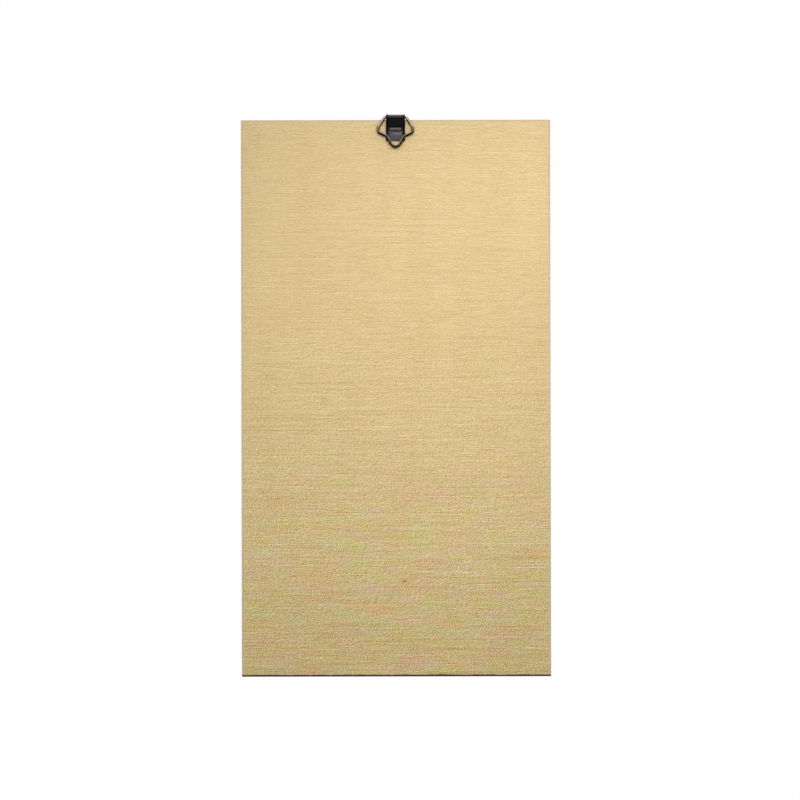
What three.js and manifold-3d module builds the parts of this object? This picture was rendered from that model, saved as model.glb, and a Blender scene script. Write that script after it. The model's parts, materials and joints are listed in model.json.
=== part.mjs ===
// Wooden wall plaque with a wire hanging ring in a folded strap at the top of its back.
// Millimetres, +Z up. The origin is the centre of the back face. +Y points out of the back,
// towards the wall, and the printed front looks along -Y.

import * as THREE from 'three';
import { mergeVertices } from 'three/addons/utils/BufferGeometryUtils.js';
import Module from 'manifold-3d';

const wasm = await Module();
wasm.setup();

// Board: a core between two veneers
const BOARD_WIDTH = 127;
const BOARD_HEIGHT = 228.6;
const BOARD_THICKNESS = 9.5;
const VENEER_THICKNESS = 0.6;
const BACK_EASE = 0.35; // the corner sanded off round the back
const BEVEL_WIDTH = 4; // the routed bevel round the front, seen from the front
const BEVEL_DEPTH = 3;

// Printed card on the front
const PRINT_MARGIN = 6; // veneer left bare between the bevel and the card
const PRINT_THICKNESS = 0.25;
const PRINT_CORNER = 1.5;

// Strap: one strip of sheet, folded round the ring's bar and pressed flat below it
const STRAP_WIDTH = 7.85;
const STRAP_DROP = 8.6; // its lower end, below the board's top edge
const STRAP_SHEET = 0.45;
const LEAF_GAP = 0.05; // between the two leaves where they are pressed together
const BEND_DROP = 3; // where the front leaf turns flat, below the board's top edge
const BEND_RADIUS = 0.5;

// Ring: one round wire, bent to a shaped ring, its two ends meeting inside the fold
const WIRE_DIAMETER = 1.2;
const WIRE_PLAY = 0.1; // running clearance of the bar in the fold
const BAR_LIFT = 0.5; // clear height of the bar over the board's top edge
const BAR_SIDE_PLAY = 0.1; // from the strap's side to the ring's first bend
const RING_WIDTH = 15.3;
const SHOULDER_LEAN = 34.5; // degrees from the vertical
const SIDE_LENGTH = 2.3; // upright side, from the shoulder's corner to the heel's
const HEEL_SLOPE = 23.2; // degrees below the level
const WAIST_WIDTH = 7.3; // between the corners where the legs start, on the wire's centre
const LEG_LEAN = 29.1; // degrees from the vertical
const END_GAP = 0.3; // between the wire's two ends
const REST_GAP = 0.3; // between the hanging ring and the strap that it lies on

// Radii of the ring's bends, on the inside of each bend
const CORNER_BEND = 0.12;
const SHOULDER_BEND = 2.4;
const HEEL_BEND = 0.5;
const WAIST_BEND = 1.1;
const TIP_BEND = 1.58;

// Staple: driven through both leaves into the board
const CROWN_WIDTH = 5.75;
const STAPLE_DEPTH = 1; // thickness of its wire, square to the crown
const STAPLE_WIDTH = 1.15; // width of its wire, along the board's height
const STAPLE_SHOULDER = 0.8; // outer radius between the crown and a leg
const STAPLE_POINT = 1; // length of a leg's point
const STAPLE_SETBACK = 0.12; // from the flat's start to the crown
const LEG_COVER = 1.35; // core left between a leg's point and the front veneer
const LEG_PLAY = 0.1; // round a leg in its holes

// Fineness
const WIRE_SIDES = 12;
const WIRE_STEP = 0.3;
const ARC_SEGMENTS = 10;

const radians = THREE.MathUtils.degToRad;

// Places that follow from the sizes
const top = BOARD_HEIGHT / 2;
const wireRadius = WIRE_DIAMETER / 2;
const foldRadius = wireRadius + WIRE_PLAY;
const barY = STRAP_SHEET + foldRadius;
const barZ = top + BAR_LIFT + wireRadius;
const strapFace = 2 * STRAP_SHEET + LEAF_GAP;
const strapEnd = top - STRAP_DROP;

// The front leaf runs straight from the fold to its bend, so it leans by this angle
const leafCentre = strapFace - STRAP_SHEET / 2;
const bendZ = top - BEND_DROP;
const bendReach = Math.hypot(barY - leafCentre, barZ - bendZ);
const leafLean =
  Math.atan2(barY - leafCentre, barZ - bendZ) +
  Math.asin((foldRadius + STRAP_SHEET / 2) / bendReach);
const bendTangent = (BEND_RADIUS + STRAP_SHEET / 2) * Math.tan(leafLean / 2);
const flatStart = bendZ - bendTangent;
const crownZ = flatStart - STAPLE_SETBACK - STAPLE_WIDTH / 2;
const legCentre = (CROWN_WIDTH - STAPLE_DEPTH) / 2;
const legTip = -(BOARD_THICKNESS - VENEER_THICKNESS - LEG_COVER);

// A box between two corners
function box(low, high) {
  const size = new THREE.Vector3().subVectors(high, low);
  const middle = new THREE.Vector3().addVectors(low, high).multiplyScalar(0.5);
  return new THREE.BoxGeometry(size.x, size.y, size.z).translate(middle.x, middle.y, middle.z);
}

// A flat outline made into a bar centred on the origin. Its own x and y become the axes across
// and up, and its length runs along the third.
function prism(shape, length, across, up) {
  const along = new THREE.Vector3().crossVectors(across, up);
  return new THREE.ExtrudeGeometry(shape, {
    depth: length,
    bevelEnabled: false,
    curveSegments: ARC_SEGMENTS,
  })
    .translate(0, 0, -length / 2)
    .applyMatrix4(new THREE.Matrix4().makeBasis(across, up, along));
}

// Booleans
function solid(geometry) {
  const bare = geometry.clone();
  bare.deleteAttribute('normal');
  bare.deleteAttribute('uv');
  const merged = mergeVertices(bare);
  return new wasm.Manifold(
    new wasm.Mesh({
      numProp: 3,
      vertProperties: merged.attributes.position.array,
      triVerts: Uint32Array.from(merged.index.array),
    }),
  );
}

function geometryOf(manifold) {
  const { vertProperties, triVerts } = manifold.getMesh();
  const geometry = new THREE.BufferGeometry();
  geometry.setAttribute('position', new THREE.BufferAttribute(vertProperties, 3));
  geometry.setIndex(new THREE.BufferAttribute(triVerts, 1));
  geometry.computeVertexNormals();
  return geometry;
}

const X = new THREE.Vector3(1, 0, 0);
const Y = new THREE.Vector3(0, 1, 0);
const Z = new THREE.Vector3(0, 0, 1);

// The board's section across a span, with the eased back corners and the front bevels
function boardSection(span) {
  const half = span / 2;
  const section = new THREE.Shape();
  section.moveTo(half - BACK_EASE, 0);
  section.lineTo(-half + BACK_EASE, 0);
  section.lineTo(-half, -BACK_EASE);
  section.lineTo(-half, BEVEL_DEPTH - BOARD_THICKNESS);
  section.lineTo(-half + BEVEL_WIDTH, -BOARD_THICKNESS);
  section.lineTo(half - BEVEL_WIDTH, -BOARD_THICKNESS);
  section.lineTo(half, BEVEL_DEPTH - BOARD_THICKNESS);
  section.lineTo(half, -BACK_EASE);
  section.closePath();
  return section;
}

// The two sections cross, so the bevels meet in mitres at the corners
function wholeBoard() {
  const acrossWidth = prism(boardSection(BOARD_WIDTH), BOARD_HEIGHT, X, Y);
  const acrossHeight = prism(boardSection(BOARD_HEIGHT), BOARD_WIDTH, Z, Y);
  return solid(acrossWidth).intersect(solid(acrossHeight));
}

// The room that the staple's legs take in whatever they are driven through
function legHoles() {
  const halfX = STAPLE_DEPTH / 2 + LEG_PLAY;
  const halfZ = STAPLE_WIDTH / 2 + LEG_PLAY;
  const holes = [-legCentre, legCentre].map((x) =>
    solid(
      box(
        new THREE.Vector3(x - halfX, legTip - LEG_PLAY, crownZ - halfZ),
        new THREE.Vector3(x + halfX, 2 * strapFace, crownZ + halfZ),
      ),
    ),
  );
  return holes[0].add(holes[1]);
}

// One layer of the board, between two depths
function boardLayer(front, back) {
  const slab = box(
    new THREE.Vector3(-BOARD_WIDTH, front, -BOARD_HEIGHT),
    new THREE.Vector3(BOARD_WIDTH, back, BOARD_HEIGHT),
  );
  return geometryOf(wholeBoard().intersect(solid(slab)).subtract(legHoles()));
}

function coreBoard() {
  return boardLayer(VENEER_THICKNESS - BOARD_THICKNESS, -VENEER_THICKNESS);
}

function backVeneer() {
  return boardLayer(-VENEER_THICKNESS, 0);
}

function frontVeneer() {
  return boardLayer(-BOARD_THICKNESS, VENEER_THICKNESS - BOARD_THICKNESS);
}

function frontPrint() {
  const halfX = BOARD_WIDTH / 2 - BEVEL_WIDTH - PRINT_MARGIN;
  const halfZ = BOARD_HEIGHT / 2 - BEVEL_WIDTH - PRINT_MARGIN;
  const r = PRINT_CORNER;
  const card = new THREE.Shape();
  card.absarc(halfX - r, halfZ - r, r, 0, Math.PI / 2, false);
  card.absarc(-halfX + r, halfZ - r, r, Math.PI / 2, Math.PI, false);
  card.absarc(-halfX + r, -halfZ + r, r, Math.PI, 1.5 * Math.PI, false);
  card.absarc(halfX - r, -halfZ + r, r, 1.5 * Math.PI, 2 * Math.PI, false);
  card.closePath();
  return prism(card, PRINT_THICKNESS, X, Z).translate(0, -BOARD_THICKNESS - PRINT_THICKNESS / 2, 0);
}

// The strap's side view: up the back face, over the bar, down the leaning front leaf, round its
// bend, flat to the lower end, and the same way back on the inside of the sheet
function hangerStrap() {
  const bendY = leafCentre + BEND_RADIUS + STRAP_SHEET / 2;
  const side = new THREE.Shape();
  side.moveTo(0, strapEnd);
  side.absarc(barY, barZ, foldRadius + STRAP_SHEET, Math.PI, -leafLean, true);
  side.absarc(bendY, flatStart, BEND_RADIUS, Math.PI - leafLean, Math.PI, false);
  side.lineTo(strapFace, strapEnd);
  side.lineTo(strapFace - STRAP_SHEET, strapEnd);
  side.absarc(bendY, flatStart, BEND_RADIUS + STRAP_SHEET, Math.PI, Math.PI - leafLean, true);
  side.absarc(barY, barZ, foldRadius, -leafLean, Math.PI, false);
  side.lineTo(STRAP_SHEET, strapEnd);
  side.closePath();
  return geometryOf(solid(prism(side, STRAP_WIDTH, Y, Z)).subtract(legHoles()));
}

// The staple's U, seen along the board's height, with a point on each leg
function hangerStaple() {
  const half = CROWN_WIDTH / 2;
  const crownTop = strapFace + STAPLE_DEPTH;
  const pointStart = legTip + STAPLE_POINT;
  const r = STAPLE_SHOULDER;
  const staple = new THREE.Shape();
  staple.moveTo(-half, pointStart);
  staple.lineTo(-legCentre, legTip);
  staple.lineTo(-half + STAPLE_DEPTH, pointStart);
  staple.lineTo(-half + STAPLE_DEPTH, strapFace);
  staple.lineTo(half - STAPLE_DEPTH, strapFace);
  staple.lineTo(half - STAPLE_DEPTH, pointStart);
  staple.lineTo(legCentre, legTip);
  staple.lineTo(half, pointStart);
  staple.absarc(half - r, crownTop - r, r, 0, Math.PI / 2, false);
  staple.absarc(-half + r, crownTop - r, r, Math.PI / 2, Math.PI, false);
  staple.closePath();
  return prism(staple, STAPLE_WIDTH, X, Y).translate(0, 0, crownZ);
}

// An arc in the ring's plane, where x runs across and the drop runs down
class WireArc extends THREE.Curve {
  constructor(centre, radius, from, turn) {
    super();
    this.centre = centre;
    this.radius = radius;
    this.from = from;
    this.turn = turn;
  }

  getPoint(t, target = new THREE.Vector3()) {
    const angle = this.from + this.turn * t;
    const x = this.centre.x + this.radius * Math.cos(angle);
    const z = this.centre.y + this.radius * Math.sin(angle);
    return target.set(x, 0, z);
  }
}

// Straight runs between corners, with a bend of its own radius at each inner corner. A bend gives
// way where the runs beside it are too short for it.
function bentWire(corners) {
  const wire = new THREE.CurvePath();
  const place = (p) => new THREE.Vector3(p.x, 0, p.y);
  let last = corners[0].at;
  for (let i = 1; i < corners.length - 1; i++) {
    const at = corners[i].at;
    const inward = new THREE.Vector2().subVectors(at, corners[i - 1].at);
    const outward = new THREE.Vector2().subVectors(corners[i + 1].at, at);
    const room = Math.min(inward.length(), outward.length()) / 2;
    inward.normalize();
    outward.normalize();
    const turn = Math.atan2(inward.cross(outward), inward.dot(outward));
    const reach = Math.min(corners[i].radius * Math.tan(Math.abs(turn) / 2), room);
    const radius = reach / Math.tan(Math.abs(turn) / 2);
    const start = at.clone().addScaledVector(inward, -reach);
    const end = at.clone().addScaledVector(outward, reach);
    const hand = Math.sign(turn);
    const centre = new THREE.Vector2(-inward.y, inward.x).multiplyScalar(hand * radius).add(start);
    const from = Math.atan2(start.y - centre.y, start.x - centre.x);
    wire.add(new THREE.LineCurve3(place(last), place(start)));
    wire.add(new WireArc(centre, radius, from, turn));
    last = end;
  }
  wire.add(new THREE.LineCurve3(place(last), place(corners[corners.length - 1].at)));
  return wire;
}

// Right half of the ring, from the bar down to the tip, as corners with the radius of the wire's
// centre at each bend
const halfRing = RING_WIDTH / 2 - wireRadius;
const barTurn = Math.PI / 2 - radians(SHOULDER_LEAN);
const barCorner = STRAP_WIDTH / 2 + BAR_SIDE_PLAY + wireRadius * Math.tan(barTurn / 2);
const shoulderDrop = (halfRing - barCorner) / Math.tan(radians(SHOULDER_LEAN));
const heelDrop = shoulderDrop + SIDE_LENGTH;
const waistDrop = heelDrop + (halfRing - WAIST_WIDTH / 2) * Math.tan(radians(HEEL_SLOPE));
const tipDrop = waistDrop + WAIST_WIDTH / 2 / Math.tan(radians(LEG_LEAN));

function ringCorners() {
  const corner = (x, drop, bend) => ({ at: new THREE.Vector2(x, -drop), radius: bend + wireRadius });
  const right = [
    corner(END_GAP / 2, 0, 0),
    corner(barCorner, 0, CORNER_BEND),
    corner(halfRing, shoulderDrop, SHOULDER_BEND),
    corner(halfRing, heelDrop, HEEL_BEND),
    corner(WAIST_WIDTH / 2, waistDrop, WAIST_BEND),
  ];
  const left = right.map(({ at, radius }) => ({ at: new THREE.Vector2(-at.x, at.y), radius }));
  return [...right, corner(0, tipDrop, TIP_BEND), ...left.reverse()];
}

function hangerRing() {
  const points = [];
  for (let i = 0; i < WIRE_SIDES; i++) {
    const angle = (2 * Math.PI * i) / WIRE_SIDES;
    points.push(new THREE.Vector2(wireRadius * Math.cos(angle), wireRadius * Math.sin(angle)));
  }
  const wire = bentWire(ringCorners());
  return new THREE.ExtrudeGeometry(new THREE.Shape(points), {
    extrudePath: wire,
    steps: Math.ceil(wire.getLength() / WIRE_STEP),
  });
}

// The ring hangs from its bar and leans out just enough to lie over the strap: the wire first
// comes over the strap where its heel run crosses the strap's side
const crossing =
  heelDrop + (halfRing - STRAP_WIDTH / 2) * Math.tan(radians(HEEL_SLOPE)) - wireRadius;
const ringLean = Math.asin((strapFace + REST_GAP + wireRadius - barY) / crossing);

const veneerWood = { color: 0xe0c698, roughness: 0.6, metalness: 0 };
const stainedWood = { color: 0x4a2c17, roughness: 0.55, metalness: 0 };
const printedCard = { color: 0xe9dcbd, roughness: 0.45, metalness: 0 };
const dullSteel = { color: 0x6e6c6c, roughness: 0.4, metalness: 1 };
const nickelWire = { color: 0xb4aea6, roughness: 0.28, metalness: 1 };
const stapleWire = { color: 0x8d8b88, roughness: 0.35, metalness: 1 };

function piece(name, geometry, finish) {
  const mesh = new THREE.Mesh(geometry, new THREE.MeshStandardMaterial(finish));
  mesh.name = name;
  return mesh;
}

const plaque = new THREE.Group();
plaque.add(piece('core_board', coreBoard(), stainedWood));
plaque.add(piece('back_veneer', backVeneer(), veneerWood));
plaque.add(piece('front_veneer', frontVeneer(), veneerWood));
plaque.add(piece('front_print', frontPrint(), printedCard));
plaque.add(piece('hanger_strap', hangerStrap(), dullSteel));
plaque.add(piece('hanger_staple', hangerStaple(), stapleWire));

const swing = new THREE.Group();
swing.position.set(0, barY, barZ);
swing.rotation.x = ringLean;
swing.add(piece('hanger_ring', hangerRing(), nickelWire));
plaque.add(swing);

export default plaque;
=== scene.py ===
"""A wooden wall plaque: its veneered back, its wire ring hanger, its bevelled and printed front."""

import json
import math

import bmesh
import bpy
from bpy.props import FloatProperty, FloatVectorProperty, PointerProperty
from mathutils import Matrix, Quaternion, Vector


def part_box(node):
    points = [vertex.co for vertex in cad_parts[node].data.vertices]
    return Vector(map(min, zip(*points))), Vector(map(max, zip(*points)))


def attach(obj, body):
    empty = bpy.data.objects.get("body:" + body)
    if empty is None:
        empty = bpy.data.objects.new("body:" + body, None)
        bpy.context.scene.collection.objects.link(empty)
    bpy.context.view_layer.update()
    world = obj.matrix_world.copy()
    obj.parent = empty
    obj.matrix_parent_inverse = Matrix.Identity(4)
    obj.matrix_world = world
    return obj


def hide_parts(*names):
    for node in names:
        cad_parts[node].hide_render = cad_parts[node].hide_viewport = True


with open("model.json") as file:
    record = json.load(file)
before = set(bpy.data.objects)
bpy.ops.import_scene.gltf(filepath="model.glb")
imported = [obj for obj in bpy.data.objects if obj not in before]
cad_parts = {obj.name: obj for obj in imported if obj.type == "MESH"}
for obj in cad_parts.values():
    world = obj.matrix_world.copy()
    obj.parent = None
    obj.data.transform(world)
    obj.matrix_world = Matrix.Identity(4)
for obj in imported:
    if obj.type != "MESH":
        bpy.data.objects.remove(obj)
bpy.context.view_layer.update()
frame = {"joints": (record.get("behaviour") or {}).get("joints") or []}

bl_info = {
    "name": "Wall Plaque",
    "version": (1, 0, 0),
    "blender": (4, 5, 0),
    "location": "3D View > Sidebar > Plaque",
    "description": "Models a wooden wall plaque, its ring hanger and its stage",
    "category": "Object",
}

X = Vector((1, 0, 0))
Y = Vector((0, 1, 0))
Z = Vector((0, 0, 1))

# Where the board lies in the photograph, which is 800 pixels square
PHOTO_SIDE = 800
BOARD_WIDTH_PX = 309.2
BOARD_CENTRE_PX = (396.0, 398.2)
BOARD_ROLL = math.radians(0.113)  # the top leans to the left in the picture

BOARD_LOW, BOARD_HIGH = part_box("core_board")
BOARD_TOP = BOARD_HIGH.z
BAR = Vector(frame["joints"][0]["pos_m"])  # the axis on which the ring swings

# A fade gives the place where a finish starts to change and the one where the change is full.
# These are heights on the back, and the last one lies across it
LOWER_FADE = (0.09, -0.095)  # from the upper grain to the lower
PORE_FADE = (0.125, -0.09)  # from closed pores to open ones
FLECK_FADE = (0.005, -0.075)  # from hardly coloured flecks to coloured ones
TOP_FADE = (0.03, 0.09)  # from an even tone to one that is paler towards one side
SIDE_FADE = (-0.015, -0.06)  # from the even side of the bottom to the darker one

GRAIN_DEPTH = 0.01  # how deep a line of the grain reaches into the wood
LINE_STEP = (0.0, 0.0, 0.0004)  # up to a line of the grain from its weaker copy of the other tone
PORE_STEP = (0.0004, 0.0, 0.0004)  # to a pore from its weaker copy of the other tone
PAIR_SHARE = 0.25  # how strong the copy is

# What each change does to the red, green and blue of the veneer
GRAIN_PULL = (0.66, 1.0, 1.46)  # the grain, whose dark parts are yellower
PINK_PULL = (0.27, -0.32, 0.27)  # a pink fleck
COOL_PULL = (0.0, 0.0, 0.76)  # a cool fleck
LOWER_PULL = (-0.035, 0.0, 0.0)  # the change towards the bottom

RIM_FADE = (-0.0013, -0.0003)  # from the back's rim, where its sanding shows
EDGE_STAIN_FADE = (-0.00022, -0.0003)  # from the back's face, where the stain of the edges starts
LAP_FADE = (0.00085, 0.00065)  # from the bottom, how far the stain laps over the back
FRONT_STAIN_FADE = (-0.001, -0.0008)  # from the front veneer's rim, where the bevel's stain starts

KNOT = Vector((-0.0034, 0, -0.0751))  # a dark pin knot in the back's veneer
KNOT_SHAPE = 0.55  # its height as a share of its width
KNOT_FADE = (0.0006, 0.0002)  # how far from its middle it starts to show, and where it is darkest

ARRIS_FADE = (0.0005, 0.0001)  # from the arris of edge and bevel, where its stain is rubbed
AGED_FADE = (-0.016, 0.001)  # from the card's rim, where its paper has yellowed
AGED = (0.86, 0.78, 0.62)  # what age leaves of the paper's red, green and blue

# Where the painted shade and the painted highlight on the strap's plate change
CUT_SIDE_FADE = (-0.0015, -0.0008)  # from its sides
SLOPE_FADE = (-0.0003, 0.0)  # above the top of the staple's crown
KNUCKLE_FADE = (0.0003, 0.0006)  # above the ring's bar

# Where the painted highlight and the painted shade on the ring's plate change, above its bar
SHOULDER_FADE = (-0.0045, -0.003)
SIDE_FOOT_FADE = (-0.0063, -0.0053)
SIDE_HEAD_FADE = (-0.0028, -0.0038)
WAIST_FADE = (-0.0078, -0.0068)
TIP_FADE = (-0.012, -0.0095)

NOISE_TURN = (0.6, 0.4, 0.8)  # turns the cells of noise askew, so that no straight row of them shows
PEAK_GAIN = 6.0  # makes up for what peaks lose

PAPER, GILT = 0, 1  # the card's materials

# How finely the curved pieces are divided
STRAP_COLUMNS = 20
FOLD_STEPS = 20
SLOPE_STEPS = 6
LEAF_BEND_STEPS = 5
LEAF_STEPS = 22
WIRE_SIDES = 24
WIRE_BEND_STEP = 7  # degrees
LEAST_BEND_STEPS = 4
FLOOR_SIDES = 96

FLOOR_RADIUS = 1.5
EVEN_FLOOR_FADE = (0.1, 0.42)  # how far from the board the floor's even shade starts, and is alone
CAMERA_DISTANCE = 1.0

SHARP = math.radians(50)  # faces that meet at more than this have an arris between them
SMALL_FACE = 2e-6  # square metres; larger faces are flat, smaller ones round an arris
TOUCHING = 1e-6  # places nearer to each other than this are one place
ALIGNED = 0.99  # the cosine above which a face looks along a direction


def length(name, value, words):
    """A size in metres."""
    return FloatProperty(
        name=name, description=words, default=value, min=0.0, precision=5, unit="LENGTH", subtype="DISTANCE"
    )


def angle(name, degrees, words):
    """An angle, written in degrees."""
    return FloatProperty(
        name=name, description=words, default=math.radians(degrees), unit="ROTATION", subtype="ANGLE"
    )


def share(name, value, words):
    """A share of the whole."""
    return FloatProperty(name=name, description=words, default=value, min=0.0, soft_max=2.0)


def watts(name, value, words):
    """A lamp's power in watts."""
    return FloatProperty(name=name, description=words, default=value, unit="POWER")


def colour(name, red, green, blue, words):
    """A colour, written as it shows on a screen, from 0 to 255."""
    shown = [c / 255 for c in (red, green, blue)]
    linear = [c / 12.92 if c <= 0.04045 else ((c + 0.055) / 1.055) ** 2.4 for c in shown]
    return FloatVectorProperty(
        name=name, description=words, default=linear, size=3, min=0.0, max=1.0, subtype="COLOR"
    )


class PlaqueBoardSettings(bpy.types.PropertyGroup):
    """The board's arrises and finishes."""

    bevel_width: length("Bevel Width", 0.004, "The routed bevel round the front, seen from the front")
    bevel_depth: length("Bevel Depth", 0.003, "How far the bevel reaches back from the front")
    back_ease: length("Back Ease", 0.00035, "The corner sanded off round the back")
    corner_round: length("Corner Round", 0.0005, "The rounding of the corners and the arrises between them")
    front_ease: length("Front Ease", 0.00015, "The rounding of the arris between bevel and front")
    veneer: colour("Veneer", 226, 199, 145, "The pale sealed veneer")
    sanded: colour("Sanded Rim", 207, 190, 158, "The bare wood where the back's rim is sanded")
    stain: colour("Edge Stain", 66, 42, 26, "The dark stain on the edges and the bevel")
    worn: colour("Worn Stain", 118, 84, 54, "The stain where an arris is rubbed")


class PlaqueGrainSettings(bpy.types.PropertyGroup):
    """The veneer's grain, which runs across the board, in its upper and its lower part."""

    dash_length: length("Dash Length", 0.0011, "The length of a short dash")
    dash_height: length("Dash Height", 0.00017, "The height of a short dash")
    dash_upper: share("Dashes Above", 0.53, "How strongly the dashes show at the top")
    dash_lower: share("Dashes Below", 0.12, "How strongly the dashes show at the bottom")
    streak_length: length("Streak Length", 0.006, "The length of a streak")
    streak_height: length("Streak Height", 0.00018, "The height of a streak")
    streak_upper: share("Streaks Above", 0.31, "How strongly the streaks show at the top")
    streak_lower: share("Streaks Below", 0.4, "How strongly the streaks show at the bottom")
    line_length: length("Line Length", 0.036, "The length of a long line")
    line_height: length("Line Height", 0.0002, "The height of a long line")
    line_upper: share("Lines Above", 0.17, "How strongly the long lines show at the top")
    line_lower: share("Lines Below", 0.5, "How strongly the long lines show at the bottom")
    pore: length("Pore", 0.0003, "The size of the open pores")
    pores: share("Pores", 1.87, "How strongly the open pores show at the bottom")
    fleck_length: length("Fleck Length", 0.012, "The length of the coloured flecks")
    fleck_height: length("Fleck Height", 0.0043, "The height of the coloured flecks")
    upper_hue: share("Hue Above", 0.15, "How strongly the flecks are coloured at the top")
    lower_hue: share("Hue Below", 1.15, "How strongly the flecks are coloured at the bottom")
    darkening: share("Darkening", 0.13, "How much darker the veneer is at the bottom")
    side_darkening: share("Side Darkening", 0.035, "How much darker the bottom is at one side")
    side_drift: share("Side Drift", 0.7, "How much paler the top gets to one side, for each metre")
    clouds: share("Clouds", 0.06, "How strongly soft clouds show in the veneer")
    bands: share("Bands", 0.13, "How strongly upright bands show in the veneer")
    lower_bands: share("Bands Below", 0.4, "How much of the bands is left at the bottom")
    dark_dashes: share("Dark Dashes", 0.08, "How dark the few dark dashes are")
    knot: share("Knot", 0.55, "How dark the pin knot is")


class PlaqueCardSettings(bpy.types.PropertyGroup):
    """The printed card on the front."""

    corner: length("Corner", 0.0015, "The rounding of the card's edges, which half its thickness limits")
    foil: length("Foil", 0.00004, "How far the gilt stands up from the card")
    margin: length("Margin", 0.0045, "From the card's edge to the broad rule")
    broad_rule: length("Broad Rule", 0.0012, "The width of the outer gilt rule")
    rule_gap: length("Rule Gap", 0.0011, "The gap between the two rules")
    fine_rule: length("Fine Rule", 0.0004, "The width of the inner gilt rule")
    cross_height: length("Cross Height", 0.062, "The height of the cross")
    cross_width: length("Cross Width", 0.040, "The width of the cross across its arms")
    arm_width: length("Arm Width", 0.0062, "The width of an arm where it leaves the middle")
    flare: share("Flare", 1.7, "How much wider an arm is at its end")
    cross_rise: length("Cross Rise", 0.026, "From the card's middle up to the crossing")
    cross_head: share("Cross Head", 0.36, "How much of the cross stands above the crossing")
    petal: length("Petal", 0.0009, "The radius of a petal of the corner flowers")
    petal_reach: share("Petal Reach", 1.6, "From a flower's heart to a petal's middle, in petals")
    heart: share("Heart", 0.5, "The radius of a flower's heart, in petals")
    flower_inset: share("Flower Inset", 4.5, "From the fine rule to a flower's heart, in petals")
    paper: colour("Paper", 236, 224, 196, "The cream card")
    gilt: colour("Gilt", 196, 152, 78, "The gilt rules and the cross")


class PlaqueHangerSettings(bpy.types.PropertyGroup):
    """The folded strap, the ring that swings in it and the staple through it."""

    sheet: length("Sheet", 0.00045, "The thickness of the strap's sheet")
    leaf_gap: length("Leaf Gap", 0.00005, "The gap between the two leaves where they are pressed flat")
    bend_drop: length("Bend Drop", 0.003, "From the board's top down to where the front leaf turns flat")
    bend_radius: length("Bend Radius", 0.0005, "The inside radius of that bend")
    wire: length("Wire", 0.0012, "The diameter of the ring's wire")
    ring_width: length("Ring Width", 0.0153, "The width of the ring")
    bar_side_play: length("Bar Side Play", 0.0001, "From the strap's side to the ring's first bend")
    shoulder_lean: angle("Shoulder Lean", 34.5, "How far the shoulders lean from the upright")
    side_length: length("Side Length", 0.0023, "The upright side, from corner to corner")
    heel_slope: angle("Heel Slope", 23.2, "How far the heels fall from the level")
    waist_width: length("Waist Width", 0.0073, "Between the corners where the legs start")
    leg_lean: angle("Leg Lean", 29.1, "How far the legs lean from the upright")
    end_gap: length("End Gap", 0.0003, "Between the wire's two ends in the fold")
    rest_gap: length("Rest Gap", 0.0003, "Between the hanging ring and the strap")
    corner_bend: length("Corner Bend", 0.00012, "The inside radius of the bend beside the strap")
    shoulder_bend: length("Shoulder Bend", 0.0024, "The inside radius of the shoulder's bend")
    heel_bend: length("Heel Bend", 0.0005, "The inside radius of the heel's bend")
    waist_bend: length("Waist Bend", 0.0011, "The inside radius of the waist's bend")
    tip_bend: length("Tip Bend", 0.00158, "The inside radius of the tip's bend")
    crown: length("Crown", 0.001, "The thickness of the staple's crown")
    crown_shoulder: length("Crown Shoulder", 0.0008, "The radius between the staple's crown and a leg")
    staple_round: length("Staple Round", 0.00018, "The radius of the staple's arrises")
    staple_point: length("Staple Point", 0.001, "The length of the point of a staple's leg")
    point_width: share("Point Width", 0.12, "The width of a leg at its tip, as a share of the leg's")
    sheet_round: length("Sheet Round", 0.00009, "The radius of the strap's arrises")
    dent: length("Dent", 0.00022, "How deep the strap is pressed in below the crown")
    dent_drop: length("Dent Drop", 0.0006, "From the crown down to the middle of the dent")
    dent_aside: length("Dent Aside", 0.0006, "From the strap's middle to the middle of the dent")
    dent_height: length("Dent Height", 0.0006, "Half the dent's height")
    dent_width: share("Dent Width", 0.45, "The dent's width as a share of the crown's")
    strap_colour: colour("Strap", 58, 56, 58, "The dull plate of the strap")
    # Painted highlight colour of the ring's plate
    wire_highlight: colour("Wire", 168, 156, 155, "The ring's plate where it is rubbed bright")
    dull_wire: colour("Dull Wire", 104, 89, 68, "The ring's plate between bright and dark")
    # Painted shade colour of the ring's plate
    wire_shade: colour("Tarnish", 9, 6, 4, "The ring's plate where it has gone dark")
    staple_colour: colour("Staple", 56, 56, 57, "The zinc of the staple")


class PlaqueStageSettings(bpy.types.PropertyGroup):
    """The floor and the light."""

    floor: colour("Floor", 232, 231, 228, "The plain pale floor")
    key_power: watts("Key Power", 0.345, "The strip lamp above the back")
    fill_power: watts("Fill Power", 7.5, "The large lamp before the front")
    top_power: watts("Top Power", 16.5, "The large lamp overhead")
    room: share("Room Light", 0.04, "The light that comes evenly from all round")


class PlaqueSettings(bpy.types.PropertyGroup):
    """Everything that can be set on the plaque."""

    board: PointerProperty(type=PlaqueBoardSettings)
    grain: PointerProperty(type=PlaqueGrainSettings)
    card: PointerProperty(type=PlaqueCardSettings)
    hanger: PointerProperty(type=PlaqueHangerSettings)
    stage: PointerProperty(type=PlaqueStageSettings)


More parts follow.
